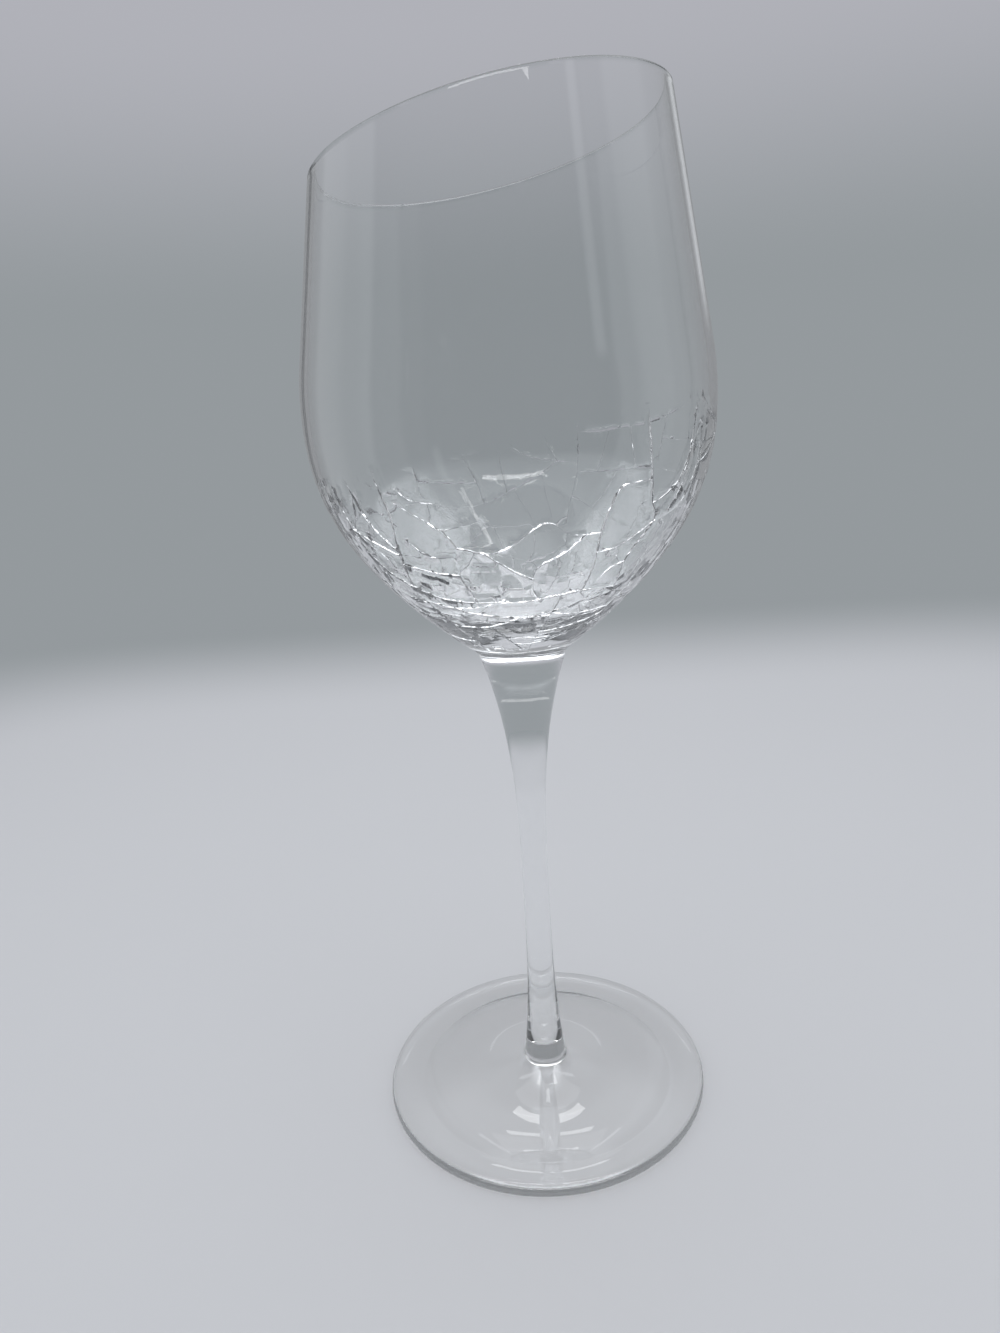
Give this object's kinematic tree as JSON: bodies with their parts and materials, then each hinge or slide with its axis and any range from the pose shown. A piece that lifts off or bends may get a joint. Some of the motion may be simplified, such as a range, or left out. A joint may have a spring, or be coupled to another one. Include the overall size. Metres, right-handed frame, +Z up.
{
  "type": "wine glass",
  "caption": "Stemmed wine glass blown in one piece, with a slanted rim, a crackled lower bowl, a slender stem and a round foot.",
  "frame": {"origin": "centre of the underside of the foot, on the surface that the glass stands on", "axes": "+Z up along the stem; the low side of the slanted rim faces -X, and the front of the picture is -Y"},
  "size_m": [0.092, 0.092, 0.2399],
  "materials": {
    "clear_glass": "clear and polished, with open cracks around the lower bowl"
  },
  "bodies": {
    "root": {"wine_glass": "clear_glass"}
  },
  "joints": []
}
